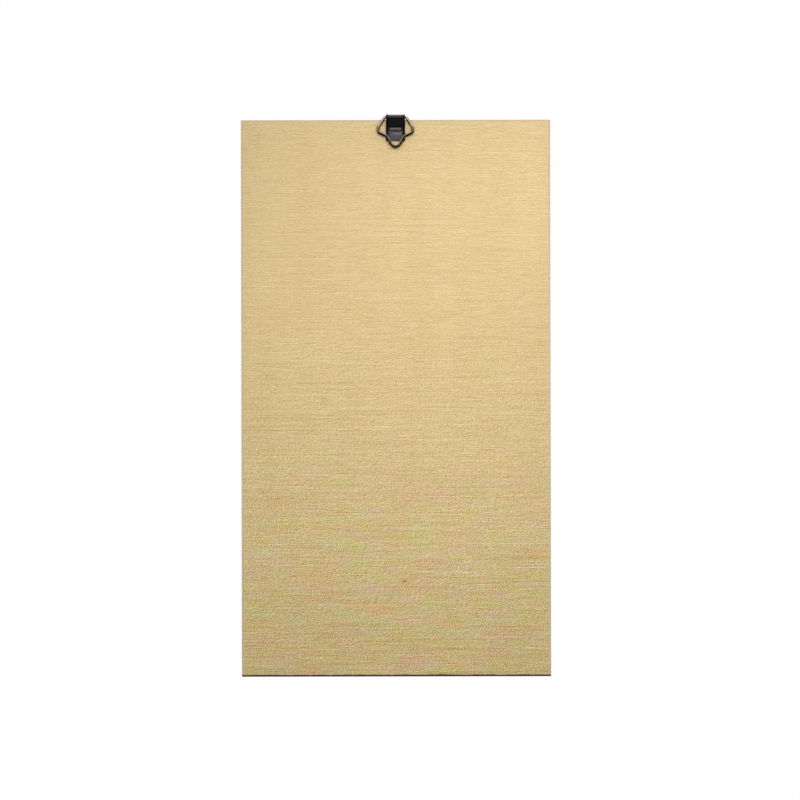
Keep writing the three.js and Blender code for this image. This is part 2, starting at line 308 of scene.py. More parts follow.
class Finish:
    """A material, built node by node. Each method gives a socket or a value that the next one takes."""

    def __init__(self, name, **constants):
        self.material = bpy.data.materials.new(name)
        self.material.use_nodes = True
        self.tree = self.material.node_tree
        self.shader = self.tree.nodes["Principled BSDF"]
        self.place = self.add("ShaderNodeTexCoord").outputs["Object"]
        axes = self.add("ShaderNodeSeparateXYZ")
        self.feed(axes.inputs[0], self.place)
        self.x, self.y, self.z = axes.outputs
        for socket, value in constants.items():
            self.shader.inputs[socket.replace("_", " ")].default_value = value

    def add(self, kind, **settings):
        node = self.tree.nodes.new(kind)
        for name, value in settings.items():
            setattr(node, name, value)
        return node

    def feed(self, socket, value):
        if isinstance(value, bpy.types.NodeSocket):
            self.tree.links.new(value, socket)
        elif socket.type == "RGBA":
            socket.default_value = (*value, 1.0)
        else:
            socket.default_value = value

    def math(self, operation, *values):
        node = self.add("ShaderNodeMath", operation=operation)
        for socket, value in zip(node.inputs, values):
            self.feed(socket, value)
        return node.outputs[0]

    def plus(self, *values):
        total = values[0]
        for value in values[1:]:
            total = self.math("ADD", total, value)
        return total

    def times(self, *values):
        product = values[0]
        for value in values[1:]:
            product = self.math("MULTIPLY", product, value)
        return product

    def noise(self, cell, detail=0.0, roughness=0.5, shift=0.0, place=None):
        """Noise about 0, with cells of the size cell = (x, y, z). Each shift gives another such noise."""
        mapping = self.add("ShaderNodeMapping")
        self.feed(mapping.inputs["Vector"], place or self.place)
        mapping.inputs["Location"].default_value = (shift, shift, shift)
        mapping.inputs["Scale"].default_value = [1 / c for c in cell]
        mapping.inputs["Rotation"].default_value = NOISE_TURN
        texture = self.add("ShaderNodeTexNoise", noise_dimensions="3D")
        self.feed(texture.inputs["Vector"], mapping.outputs[0])
        texture.inputs["Scale"].default_value = 1.0
        texture.inputs["Detail"].default_value = detail
        texture.inputs["Roughness"].default_value = roughness
        return self.math("SUBTRACT", texture.outputs["Fac"], 0.5)

    def paired_noise(self, cell, step, shift=0.0):
        """Noise with a weaker copy of itself, of the other tone, one step away."""
        moved = self.add("ShaderNodeVectorMath", operation="ADD")
        self.feed(moved.inputs[0], self.place)
        self.feed(moved.inputs[1], step)
        copy = self.noise(cell, shift=shift, place=moved.outputs[0])
        return self.plus(self.noise(cell, shift=shift), self.times(copy, -PAIR_SHARE))

    def peaks(self, noise):
        """Noise of which little but the peaks is left."""
        return self.times(noise, self.math("ABSOLUTE", noise), PEAK_GAIN)

    def fade(self, value, start, end, kind="SMOOTHSTEP"):
        """0 at start and 1 at end."""
        node = self.add("ShaderNodeMapRange", interpolation_type=kind)
        for socket, given in zip(node.inputs, (value, start, end)):
            self.feed(socket, given)
        return node.outputs["Result"]

    def between(self, amount, first, second):
        """The number first where amount is 0 and the number second where it is 1."""
        return self.plus(first, self.times(amount, second - first))

    def rest(self, amount):
        """What an amount leaves of 1."""
        return self.math("SUBTRACT", 1.0, amount)

    def past_rim(self, half_width, half_height):
        """How far outside an upright rectangle a place lies: less than 0 inside it."""
        beside = self.math("SUBTRACT", self.math("ABSOLUTE", self.x), half_width)
        above = self.math("SUBTRACT", self.math("ABSOLUTE", self.z), half_height)
        return self.math("MAXIMUM", beside, above)

    def hypotenuse(self, first, second):
        """The distance that two distances square to each other make."""
        return self.math("SQRT", self.plus(self.times(first, first), self.times(second, second)))

    def mix(self, amount, first, second, blend="MIX"):
        node = self.add("ShaderNodeMix", data_type="RGBA", blend_type=blend)
        for socket, given in zip([node.inputs[i] for i in (0, 6, 7)], (amount, first, second)):
            self.feed(socket, given)
        return node.outputs[2]

    def brighten(self, shade, factor):
        """A colour times a factor."""
        node = self.add("ShaderNodeVectorMath", operation="SCALE")
        self.feed(node.inputs[0], shade)
        self.feed(node.inputs["Scale"], factor)
        return node.outputs[0]

    def bump(self, height, depth):
        """Surface relief, whose height of 1 stands for depth metres."""
        node = self.add("ShaderNodeBump")
        node.inputs["Distance"].default_value = depth
        self.feed(node.inputs["Height"], height)
        self.tree.links.new(node.outputs[0], self.shader.inputs["Normal"])

    def paint(self, shade, roughness=None):
        self.feed(self.shader.inputs["Base Color"], shade)
        if roughness is not None:
            self.feed(self.shader.inputs["Roughness"], roughness)
        return self.material


def grain_figure(f, grain, lower, pored):
    """The grain's relief, made of short dashes, streaks, long lines and pores, and its dashes alone."""
    dashes = f.paired_noise((grain.dash_length, GRAIN_DEPTH, grain.dash_height), LINE_STEP, shift=31.0)
    streaks = f.paired_noise((grain.streak_length, GRAIN_DEPTH, grain.streak_height), LINE_STEP, shift=43.0)
    lines = f.paired_noise((grain.line_length, GRAIN_DEPTH, grain.line_height), LINE_STEP)
    pores = f.paired_noise((grain.pore, grain.pore, grain.pore), PORE_STEP, shift=57.0)
    figure = f.plus(
        f.times(dashes, f.between(lower, grain.dash_upper, grain.dash_lower)),
        f.times(f.peaks(streaks), f.between(lower, grain.streak_upper, grain.streak_lower)),
        f.times(f.peaks(lines), f.between(lower, grain.line_upper, grain.line_lower)),
        f.times(pores, pored, grain.pores),
    )
    return figure, dashes


def wood_shades(f, grain, lower):
    """Soft clouds and upright bands in the wood, with a few dark dashes."""
    clouds = f.noise((0.05, 0.02, 0.02), detail=2.0, shift=11.0)
    bands = f.noise((0.009, 0.02, 0.12), detail=3.0, roughness=0.6, shift=91.0)
    dark_dashes = f.fade(f.noise((0.005, 0.01, 0.0003), shift=5.0), 0.17, 0.27)
    return f.plus(
        f.times(clouds, grain.clouds),
        f.times(bands, f.between(lower, 1.0, grain.lower_bands), grain.bands),
        f.times(dark_dashes, -grain.dark_dashes),
    )


def wood_tint(f, grain, shades, lower, flecked):
    """What the veneer's colour is multiplied by: its shades, and pink and cool flecks."""
    fleck = (grain.fleck_length, GRAIN_DEPTH, grain.fleck_height)
    hue = f.between(flecked, grain.upper_hue, grain.lower_hue)
    pink = f.times(f.noise(fleck, detail=2.0, roughness=0.6, shift=71.0), hue)
    cool = f.times(f.noise(fleck, detail=2.0, roughness=0.6, shift=83.0), hue)
    tint = f.add("ShaderNodeCombineColor")
    pulls = zip(tint.inputs, GRAIN_PULL, PINK_PULL, COOL_PULL, LOWER_PULL)
    for socket, deeper, pinker, cooler, drift in pulls:
        grained = f.plus(1.0, f.times(shades, deeper))
        f.feed(socket, f.plus(grained, f.times(pink, pinker), f.times(cool, cooler), f.times(lower, drift)))
    return tint.outputs[0]


def knot_shape(f):
    """1 in the pin knot and 0 away from it."""
    beside = f.times(f.plus(f.x, -KNOT.x), KNOT_SHAPE)
    above = f.plus(f.z, -KNOT.z)
    return f.fade(f.hypotenuse(beside, above), *KNOT_FADE)


def back_stain(f, uneven):
    """Where the edges' stain shows on the back veneer: on its own edges and a little over the bottom."""
    edge = f.fade(f.plus(f.y, f.times(uneven, 0.0002)), *EDGE_STAIN_FADE)
    lap = f.fade(f.plus(f.z, BOARD_HIGH.z, f.times(uneven, 0.0007)), *LAP_FADE)
    return f.math("MAXIMUM", edge, lap)


def front_stain(f, uneven):
    """Where the bevel's stain shows on the front veneer: along its rim."""
    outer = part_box("front_veneer")[1]
    return f.fade(f.plus(f.past_rim(outer.x, outer.z), f.times(uneven, 0.0004)), *FRONT_STAIN_FADE)


def veneer_finish(name, board, grain, back):
    """Pale sealed veneer, its grain across the board: smooth at the top, open-pored and flecked below.

    The front's veneer is like the top of the back's all over.
    """
    f = Finish(name, Specular_IOR_Level=0.35)
    lower = f.fade(f.z, *LOWER_FADE, "LINEAR") if back else 0.0
    pored = f.fade(f.z, *PORE_FADE) if back else 0.0
    flecked = f.fade(f.z, *FLECK_FADE) if back else 0.0
    top = f.fade(f.z, *TOP_FADE) if back else 0.0
    figure, dashes = grain_figure(f, grain, lower, pored)
    shades = f.plus(figure, wood_shades(f, grain, lower))
    tone = f.plus(
        1.0,
        f.times(lower, -grain.darkening),
        f.times(f.fade(f.x, *SIDE_FADE), lower, -grain.side_darkening),
        f.times(f.x, top, -grain.side_drift),
    )
    if back:
        tone = f.plus(tone, f.times(knot_shape(f), -grain.knot))
    wood = f.mix(1.0, board.veneer, wood_tint(f, grain, shades, lower, flecked), blend="MULTIPLY")
    shade = f.brighten(wood, tone)
    uneven = f.noise((0.004, 0.004, 0.004), detail=2.0, shift=19.0)
    if back:
        rim = f.fade(f.past_rim(BOARD_HIGH.x, BOARD_HIGH.z), *RIM_FADE)
        shade = f.mix(f.times(rim, 0.7), shade, board.sanded)
    stained = back_stain(f, uneven) if back else front_stain(f, uneven)
    f.bump(figure, depth=0.00004)
    return f.paint(f.mix(stained, shade, board.stain), f.plus(0.56, f.times(dashes, 0.15)))


def stain_finish(board):
    """Fibreboard stained dark, with the fibres just showing and the arrises rubbed paler."""
    f = Finish("stained_edge", Specular_IOR_Level=0.3)
    fibres = f.noise((0.0006, 0.0006, 0.0006), detail=3.0, roughness=0.6)
    bands = f.noise((0.012, 0.0009, 0.012), detail=2.0, shift=23.0)
    rubs = f.noise((0.006, 0.002, 0.006), detail=3.0, shift=41.0)
    tone = f.plus(1.0, f.times(fibres, 0.9), f.times(bands, 0.5))
    bevel_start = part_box("front_veneer")[0].y + board.bevel_depth
    arris = f.fade(f.math("ABSOLUTE", f.plus(f.y, -bevel_start)), *ARRIS_FADE)
    lightened = f.times(arris, f.fade(rubs, -0.08, 0.2))
    shade = f.mix(f.times(lightened, 0.8), board.stain, board.worn)
    f.bump(fibres, depth=0.00002)
    return f.paint(f.brighten(shade, tone), f.plus(0.5, f.times(fibres, 0.4)))


def paper_finish(card):
    """Cream card with a satin face, a little yellower towards its edges."""
    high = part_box("front_print")[1]
    f = Finish("cream_card", Specular_IOR_Level=0.4)
    mottle = f.noise((0.018, 0.018, 0.018), detail=4.0, roughness=0.6)
    fibres = f.noise((0.0008, 0.0008, 0.0003), detail=2.0, shift=13.0)
    aged = f.fade(f.plus(f.past_rim(high.x, high.z), f.times(mottle, 0.02)), *AGED_FADE)
    aged_paper = [part * left for part, left in zip(card.paper, AGED)]
    shade = f.mix(f.times(aged, 0.6), card.paper, aged_paper)
    tone = f.plus(1.0, f.times(mottle, 0.12), f.times(fibres, 0.08))
    f.bump(fibres, depth=0.00002)
    return f.paint(f.brighten(shade, tone), f.plus(0.42, f.times(mottle, 0.2)))


def gilt_finish(card):
    """Stamped gilt, slightly uneven."""
    f = Finish("gilt", Metallic=1.0)
    uneven = f.noise((0.003, 0.003, 0.003), detail=3.0)
    grain = f.noise((0.0004, 0.0004, 0.0004), shift=7.0)
    tone = f.plus(1.0, f.times(uneven, 0.35), f.times(grain, 0.25))
    f.bump(grain, depth=0.00001)
    return f.paint(f.brighten(card.gilt, tone), f.plus(0.36, f.times(uneven, 0.3)))


def strap_finish(hanger):
    """Dull plated sheet, with painted shade where it slopes away under the fold and along its cut sides, and
    a painted highlight along the fold's top.
    """
    f = Finish("dull_plate", Metallic=1.0)
    rolled = f.noise((0.00025, 0.004, 0.004), detail=2.0)
    spots = f.noise((0.0009, 0.0009, 0.0009), detail=2.0, shift=9.0)
    half_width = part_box("hanger_strap")[1].x
    # Painted shade along the cut sides
    side = f.fade(f.plus(f.math("ABSOLUTE", f.x), -half_width), *CUT_SIDE_FADE)
    crown_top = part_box("hanger_staple")[1].z
    # Painted shade on the slope from the staple's crown up under the fold
    slope = f.fade(f.plus(f.z, -crown_top), *SLOPE_FADE)
    # Painted highlight along the top of the fold
    knuckle = f.fade(f.plus(f.z, -BAR.z), *KNUCKLE_FADE)
    dark = f.math("MAXIMUM", f.times(side, 0.85), f.times(slope, 0.72, f.rest(knuckle)))
    # The plate's tone, with the painted highlight of the fold's top
    plate = f.plus(1.0, f.times(rolled, 0.25), f.times(spots, 0.3), f.times(knuckle, 1.2))
    tone = f.times(plate, f.rest(dark))
    f.bump(rolled, depth=0.00001)
    return f.paint(f.brighten(hanger.strap_colour, tone), f.plus(0.4, f.times(spots, 0.25)))


def wire_finish(hanger):
    """Plated wire with painted shade below and along its outer edge, and a painted highlight along its upper
    side.
    """
    f = Finish("ring_plate", Metallic=1.0, Specular_Tint=(0.3, 0.3, 0.3, 1.0))
    spots = f.noise((0.0007, 0.0007, 0.0007), detail=3.0)
    f.bump(spots, depth=0.000015)
    axes = f.add("ShaderNodeSeparateXYZ")
    f.feed(axes.inputs[0], f.add("ShaderNodeTexCoord").outputs["Normal"])
    across, out, up = axes.outputs
    above_bar = f.plus(f.z, -BAR.z)
    # How much a face looks up and out, where the painted highlight falls; the shoulders get more of it
    light_facing = f.plus(
        f.times(f.math("ABSOLUTE", across), 0.5),
        f.times(out, 0.3),
        f.times(up, 0.8),
        f.times(f.fade(above_bar, *SHOULDER_FADE), 0.2),
        f.times(spots, 0.25),
    )
    # The upright sides get less painted shade
    upright = f.times(f.fade(above_bar, *SIDE_FOOT_FADE), f.fade(above_bar, *SIDE_HEAD_FADE))
    # Painted shade along the outer edge, above the waist
    outer_shade = f.times(f.fade(out, 0.75, 0.45), f.fade(above_bar, *WAIST_FADE))
    inside = f.rest(outer_shade)
    out_of_shade = f.times(f.fade(f.plus(light_facing, f.times(upright, 0.12)), 0.4, 0.7), inside)
    # Painted shade below, turning to the plate's own dull colour where the wire looks up
    plate = f.mix(out_of_shade, hanger.wire_shade, hanger.dull_wire)
    # Painted highlight along the upper side, fading out towards the tip
    lightened = f.times(f.fade(light_facing, 0.66, 0.82), f.fade(above_bar, *TIP_FADE), inside)
    shade = f.mix(lightened, plate, hanger.wire_highlight)
    return f.paint(f.brighten(shade, f.plus(1.0, f.times(spots, 0.5))), f.plus(0.3, f.times(spots, 0.3)))


def staple_finish(hanger):
    """Zinc-coated wire, drawn lengthwise."""
    f = Finish("zinc_wire", Metallic=1.0)
    drawn = f.noise((0.003, 0.0002, 0.0002), detail=2.0)
    f.bump(drawn, depth=0.00002)
    tone = f.plus(1.0, f.times(drawn, 0.5))
    return f.paint(f.brighten(hanger.staple_colour, tone), f.plus(0.34, f.times(drawn, 0.3)))


def block(low, high):
    """A box between two corners."""
    mesh = bmesh.new()
    bmesh.ops.create_cube(mesh, size=1.0)
    bmesh.ops.scale(mesh, vec=high - low, verts=mesh.verts)
    bmesh.ops.translate(mesh, vec=(low + high) / 2, verts=mesh.verts)
    return mesh


def facing(mesh, direction):
    """The faces that look along a direction."""
    mesh.normal_update()
    return [face for face in mesh.faces if face.normal.dot(direction) > ALIGNED]


def is_at(point, x, y, z):
    """Whether a point is at the given places, of which None is any. x and z are taken on both sides."""
    places = ((abs(point.x), x), (point.y, y), (abs(point.z), z))
    return all(wanted is None or abs(place - wanted) < TOUCHING for place, wanted in places)


def edges_at(mesh, x=None, y=None, z=None):
    """The edges of which both ends are at the given places, also those from one corner to the next."""
    return [edge for edge in mesh.edges if all(is_at(vertex.co, x, y, z) for vertex in edge.verts)]


def arrises(mesh):
    """The edges at which two faces meet sharply."""
    mesh.normal_update()
    return [edge for edge in mesh.edges if len(edge.link_faces) == 2 and edge.calc_face_angle() > SHARP]


def soften(mesh, edges, radius, segments=3):
    """Rounds edges, by no more than the piece has room for."""
    bmesh.ops.bevel(
        mesh, geom=edges, offset=radius, offset_type="OFFSET", affect="EDGES",
        segments=segments, profile=0.5, material=-1, clamp_overlap=True,
    )


def whole(faces):
    """Faces with their edges and vertices, so that nothing of them stays behind inside."""
    return [*faces, *{part for face in faces for part in (*face.verts, *face.edges)}]


def faces_among(parts):
    return [part for part in parts if isinstance(part, bmesh.types.BMFace)]


def push(mesh, end, step, times=1):
    """Extrudes the end faces along a step, in equal parts, and gives the new end."""
    for _ in range(times):
        end = faces_among(bmesh.ops.extrude_face_region(mesh, geom=whole(end))["geom"])
        verts = {vertex for face in end for vertex in face.verts}
        bmesh.ops.translate(mesh, vec=step / times, verts=list(verts))
    return end


def swing(mesh, end, centre, axis, turn, steps):
    """Sweeps the end faces round an axis and gives the new end."""
    swept = bmesh.ops.spin(
        mesh, geom=whole(end), cent=centre, axis=axis, angle=turn, steps=steps, use_merge=False
    )
    return faces_among(swept["geom_last"])


def add_to_scene(name, data):
    added = bpy.data.objects.new(name, data)
    bpy.context.scene.collection.objects.link(added)
    return added


def mesh_data(mesh, name):
    """The finished mesh as an object's data."""
    data = bpy.data.meshes.new(name)
    mesh.to_mesh(data)
    mesh.free()
    return data


def finish_piece(mesh, name, body, node, slot, *materials):
    """Makes the finished mesh an object that rides on a body and stands for a node."""
    bmesh.ops.recalc_face_normals(mesh, faces=mesh.faces)
    for face in mesh.faces:
        face.smooth = face.calc_area() < SMALL_FACE
    data = mesh_data(mesh, name)
    data.set_sharp_from_angle(angle=SHARP)
    for material in materials:
        data.materials.append(material)
    piece = add_to_scene(name, data)
    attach(piece, body)
    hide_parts(node)


class PLAQUE_OT_core_board(bpy.types.Operator):
    """Make the core with its stained edges and the routed bevel round its front"""

    bl_idname = "plaque.core_board"
    bl_label = "Core Board"

    def execute(self, context):
        board = context.scene.plaque.board
        low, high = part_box("core_board")
        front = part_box("front_veneer")
        bevel_start = front[0].y + board.bevel_depth
        mesh = block(Vector((low.x, bevel_start, low.z)), high)
        depth = bevel_start - low.y
        bmesh.ops.inset_region(
            mesh, faces=facing(mesh, -Y), thickness=high.x - front[1].x, depth=depth, use_even_offset=True
        )
        soften(mesh, edges_at(mesh, x=high.x, z=high.z), board.corner_round)
        finish_piece(mesh, "Core_Board", "board", "core_board", "stained_edge", stain_finish(board))
        return {"FINISHED"}


class PLAQUE_OT_back_veneer(bpy.types.Operator):
    """Make the back's veneer with its sanded rim"""

    bl_idname = "plaque.back_veneer"
    bl_label = "Back Veneer"

    def execute(self, context):
        settings = context.scene.plaque
        low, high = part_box("back_veneer")
        mesh = block(low, high)
        soften(mesh, edges_at(mesh, x=high.x, z=high.z), settings.board.corner_round)
        soften(mesh, edges_at(mesh, y=high.y), settings.board.back_ease, segments=4)
        finish = veneer_finish("back_veneer", settings.board, settings.grain, back=True)
        finish_piece(mesh, "Back_Veneer", "board", "back_veneer", "veneer", finish)
        return {"FINISHED"}


class PLAQUE_OT_front_veneer(bpy.types.Operator):
    """Make the front's veneer, whose sides carry on the bevel"""

    bl_idname = "plaque.front_veneer"
    bl_label = "Front Veneer"

    def execute(self, context):
        settings = context.scene.plaque
        low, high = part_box("front_veneer")
        mesh = block(low, high)
        taper = (high.y - low.y) * settings.board.bevel_width / settings.board.bevel_depth
        front = [vertex for vertex in mesh.verts if vertex.co.y < (low.y + high.y) / 2]
        shrink = Vector(((high.x - taper) / high.x, 1, (high.z - taper) / high.z))
        bmesh.ops.scale(mesh, vec=shrink, verts=front)
        soften(mesh, edges_at(mesh, y=low.y), settings.board.front_ease)
        finish = veneer_finish("front_veneer", settings.board, settings.grain, back=False)
        finish_piece(mesh, "Front_Veneer", "board", "front_veneer", "veneer", finish)
        return {"FINISHED"}


def add_disc(mesh, centre, radius, depth, segments=16):
    """A thin disc lying on the card's face."""
    turn = Matrix.Rotation(math.radians(90), 4, "X")
    bmesh.ops.create_cone(
        mesh, cap_ends=True, segments=segments, radius1=radius, radius2=radius, depth=depth,
        matrix=Matrix.Translation(centre) @ turn,
    )


def add_cross(mesh, card, centre, depth):
    """A plain cross whose arms widen towards their ends, as a thin plate."""
    half = card.arm_width / 2
    shape = Matrix.Diagonal((card.arm_width, depth, card.arm_width, 1))
    made = bmesh.ops.create_cube(mesh, size=1.0, matrix=Matrix.Translation(centre) @ shape)
    mesh.normal_update()
    middle = {face for vertex in made["verts"] for face in vertex.link_faces}
    head = card.cross_height * card.cross_head
    side_reach = card.cross_width / 2
    arms = ((X, side_reach), (-X, side_reach), (Z, head), (-Z, card.cross_height - head))
    for direction, reach in arms:
        side = [face for face in middle if face.is_valid and face.normal.dot(direction) > ALIGNED]
        end = push(mesh, side, direction * (reach - half))
        verts = list({vertex for face in end for vertex in face.verts})
        widen = (card.flare if direction.x == 0 else 1, 1, card.flare if direction.z == 0 else 1)
        bmesh.ops.scale(mesh, vec=widen, space=Matrix.Translation(-centre), verts=verts)


def add_flower(mesh, card, heart):
    """A flower of four round petals about a round heart."""
    add_disc(mesh, heart, card.petal * card.heart, card.foil)
    for quarter in range(4):
        turn = quarter * math.pi / 2
        away = Vector((math.cos(turn), 0, math.sin(turn))) * card.petal * card.petal_reach
        add_disc(mesh, heart + away, card.petal, card.foil)


class PLAQUE_OT_front_print(bpy.types.Operator):
    """Make the printed card with its gilt rules, corner flowers and cross"""

    bl_idname = "plaque.front_print"
    bl_label = "Front Print"

    def execute(self, context):
        card = context.scene.plaque.card
        low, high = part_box("front_print")
        face_y = low.y + card.foil
        mesh = block(Vector((low.x, face_y, low.z)), high)
        middle = facing(mesh, -Y)
        rules = ((card.broad_rule, GILT), (card.rule_gap, PAPER), (card.fine_rule, GILT))
        frames = ((card.margin, PAPER), *rules)
        for width, finish in frames:
            band = bmesh.ops.inset_region(mesh, faces=middle, thickness=width, use_even_offset=True)["faces"]
            for face in band:
                face.material_index = finish
        soften(mesh, edges_at(mesh, x=high.x, z=high.z), card.corner, segments=6)
        card_faces = set(mesh.faces)
        foil_centre = face_y - card.foil / 2
        add_cross(mesh, card, Vector((0, foil_centre, card.cross_rise)), card.foil)
        inset = sum(width for width, _ in frames) + card.flower_inset * card.petal
        for side in (-1, 1):
            for rise in (-1, 1):
                heart = Vector((side * (high.x - inset), foil_centre, rise * (high.z - inset)))
                add_flower(mesh, card, heart)
        for face in mesh.faces:
            if face not in card_faces:
                face.material_index = GILT
        finish_piece(
            mesh, "Front_Print", "board", "front_print", "printed_card", paper_finish(card), gilt_finish(card)
        )
        return {"FINISHED"}


def strap_sizes(hanger):
    """The front leaf's lean under the fold, the corner where it turns flat, and the fold's radius.

    Corner and radius are those of the sheet's middle.
    """
    half_sheet = hanger.sheet / 2
    leaf = hanger.sheet + hanger.leaf_gap + half_sheet
    fold = BAR.y - half_sheet
    corner = Vector((0, leaf, BOARD_TOP - hanger.bend_drop))
    away = BAR - corner
    lean = math.atan2(away.y, away.z) + math.asin(fold / math.hypot(away.y, away.z))
    return lean, corner, fold


def press_dent(verts, hanger):
    """Presses the strap's front leaf in below the staple's crown."""
    crown_low, crown_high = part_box("hanger_staple")
    for vertex in verts:
        across = (vertex.co.x + hanger.dent_aside) / (crown_high.x * hanger.dent_width)
        down = (vertex.co.z - crown_low.z + hanger.dent_drop) / hanger.dent_height
        vertex.co.y -= hanger.dent * math.exp(-across * across - down * down)


class PLAQUE_OT_hanger_strap(bpy.types.Operator):
    """Make the strap: one strip of sheet, folded round the ring's bar and pressed flat below it"""

    bl_idname = "plaque.hanger_strap"
    bl_label = "Hanger Strap"

    def execute(self, context):
        hanger = context.scene.plaque.hanger
        low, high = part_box("hanger_strap")
        lean, corner, fold = strap_sizes(hanger)
        bend = hanger.bend_radius + hanger.sheet / 2
        reach = bend * math.tan(lean / 2)
        mesh = bmesh.new()
        bmesh.ops.create_grid(mesh, x_segments=STRAP_COLUMNS, y_segments=1, size=0.5)
        bmesh.ops.scale(mesh, vec=(high.x - low.x, hanger.sheet, 1), verts=mesh.verts)
        bmesh.ops.translate(mesh, vec=(0, hanger.sheet / 2, low.z), verts=mesh.verts)
        end = push(mesh, mesh.faces[:], Z * (BAR.z - low.z))
        end = swing(mesh, end, BAR, -X, math.pi + lean, FOLD_STEPS)
        fold_end = BAR + Vector((0, math.cos(lean), -math.sin(lean))) * fold
        slope = corner - fold_end
        end = push(mesh, end, slope.normalized() * (slope.length - reach), SLOPE_STEPS)
        flat_start = corner.z - reach
        end = swing(mesh, end, Vector((0, corner.y + bend, flat_start)), X, lean, LEAF_BEND_STEPS)
        push(mesh, end, Z * (low.z - flat_start), LEAF_STEPS)
        soften(mesh, arrises(mesh), hanger.sheet_round, segments=2)
        front_leaf = [each for each in mesh.verts if each.co.y > hanger.sheet and each.co.z < flat_start]
        press_dent(front_leaf, hanger)
        finish_piece(mesh, "Hanger_Strap", "board", "hanger_strap", "strap_steel", strap_finish(hanger))
        return {"FINISHED"}


class PLAQUE_OT_hanger_staple(bpy.types.Operator):
    """Make the staple, whose legs go through both leaves into the board"""

    bl_idname = "plaque.hanger_staple"
    bl_label = "Hanger Staple"

    def execute(self, context):
        hanger = context.scene.plaque.hanger
        low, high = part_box("hanger_staple")
        under_crown = high.y - hanger.crown
        inner = high.x - hanger.crown
        mesh = block(Vector((low.x, under_crown, low.z)), high)
        for side in (-inner, inner):
            bmesh.ops.bisect_plane(
                mesh, geom=[*mesh.verts, *mesh.edges, *mesh.faces], plane_co=X * side, plane_no=X
            )
        for foot in facing(mesh, -Y):
            if abs(foot.calc_center_median().x) > inner:
                end = push(mesh, [foot], Y * (low.y + hanger.staple_point - under_crown))
                end = push(mesh, end, Y * -hanger.staple_point)
                middle = end[0].calc_center_median()
                pinch = (hanger.point_width, 1, 1)
                bmesh.ops.scale(mesh, vec=pinch, space=Matrix.Translation(-middle), verts=end[0].verts)
        soften(mesh, edges_at(mesh, x=high.x, y=high.y), hanger.crown_shoulder, segments=6)
        soften(mesh, arrises(mesh), hanger.staple_round, segments=3)
        finish_piece(mesh, "Hanger_Staple", "board", "hanger_staple", "staple_wire", staple_finish(hanger))
        return {"FINISHED"}


def ring_corners(hanger, strap_width):
    """The corners of the ring's wire with the radius of the wire's middle at each, and its rest lean."""
    wire = hanger.wire / 2
    half = hanger.ring_width / 2 - wire
    bar_turn = math.pi / 2 - hanger.shoulder_lean
    bar_corner = strap_width / 2 + hanger.bar_side_play + wire * math.tan(bar_turn / 2)
    shoulder = (half - bar_corner) / math.tan(hanger.shoulder_lean)
    heel = shoulder + hanger.side_length
    waist = heel + (half - hanger.waist_width / 2) * math.tan(hanger.heel_slope)
    tip = waist + hanger.waist_width / 2 / math.tan(hanger.leg_lean)
    right = [
        (hanger.end_gap / 2, 0, 0),
        (bar_corner, 0, hanger.corner_bend + wire),
        (half, -shoulder, hanger.shoulder_bend + wire),
        (half, -heel, hanger.heel_bend + wire),
        (hanger.waist_width / 2, -waist, hanger.waist_bend + wire),
    ]
    left = [(-x, z, bend) for x, z, bend in reversed(right)]
    corners = [(Vector((x, 0, z)), bend) for x, z, bend in [*right, (0, -tip, hanger.tip_bend + wire), *left]]
    strap_face = 2 * hanger.sheet + hanger.leaf_gap
    crossing = heel + (half - strap_width / 2) * math.tan(hanger.heel_slope) - wire
    lean = math.asin((strap_face + hanger.rest_gap + wire - BAR.y) / crossing)
    return corners, lean


def bend_wire(mesh, end, corners):
    """Runs the end faces along straight stretches with a bend at each corner."""
    place = corners[0][0]
    for (before, _), (corner, bend), (after, _) in zip(corners, corners[1:], corners[2:]):
        inward = (corner - before).normalized()
        outward = (after - corner).normalized()
        turn = inward.angle(outward)
        axis = inward.cross(outward).normalized()
        room = min((corner - before).length, (after - corner).length) / 2
        reach = min(bend * math.tan(turn / 2), room)
        bend = reach / math.tan(turn / 2)
        start = corner - inward * reach
        end = push(mesh, end, start - place, times=2)
        steps = max(LEAST_BEND_STEPS, math.ceil(math.degrees(turn) / WIRE_BEND_STEP))
        end = swing(mesh, end, start + axis.cross(inward) * bend, axis, turn, steps)
        place = corner + outward * reach
    push(mesh, end, corners[-1][0] - place)


class PLAQUE_OT_hanger_ring(bpy.types.Operator):
    """Make the ring, one wire bent to shape, its ends meeting in the strap's fold"""

    bl_idname = "plaque.hanger_ring"
    bl_label = "Hanger Ring"

    def execute(self, context):
        hanger = context.scene.plaque.hanger
        strap_low, strap_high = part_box("hanger_strap")
        corners, lean = ring_corners(hanger, strap_high.x - strap_low.x)
        mesh = bmesh.new()
        square_to_bar = Matrix.Rotation(math.radians(90), 4, "Y")
        bmesh.ops.create_circle(
            mesh, cap_ends=True, segments=WIRE_SIDES, radius=hanger.wire / 2,
            matrix=Matrix.Translation(corners[0][0]) @ square_to_bar,
        )
        bend_wire(mesh, mesh.faces[:], corners)
        bmesh.ops.rotate(mesh, cent=(0, 0, 0), matrix=Matrix.Rotation(lean, 3, "X"), verts=mesh.verts)
        bmesh.ops.translate(mesh, vec=BAR, verts=mesh.verts)
        finish_piece(mesh, "Hanger_Ring", "ring", "hanger_ring", "ring_wire", wire_finish(hanger))
        return {"FINISHED"}


def rays_that_see(tree):
    """1 for a ray from the camera, off a shiny thing or through a clear one, and 0 for any other."""
    rays = tree.nodes.new("ShaderNodeLightPath").outputs
    seen = rays["Is Camera Ray"]
    for name in ("Is Glossy Ray", "Is Transmission Ray"):
        either = tree.nodes.new("ShaderNodeMath")
        either.operation = "MAXIMUM"
        tree.links.new(seen, either.inputs[0])
        tree.links.new(rays[name], either.inputs[1])
        seen = either.outputs[0]
    return seen


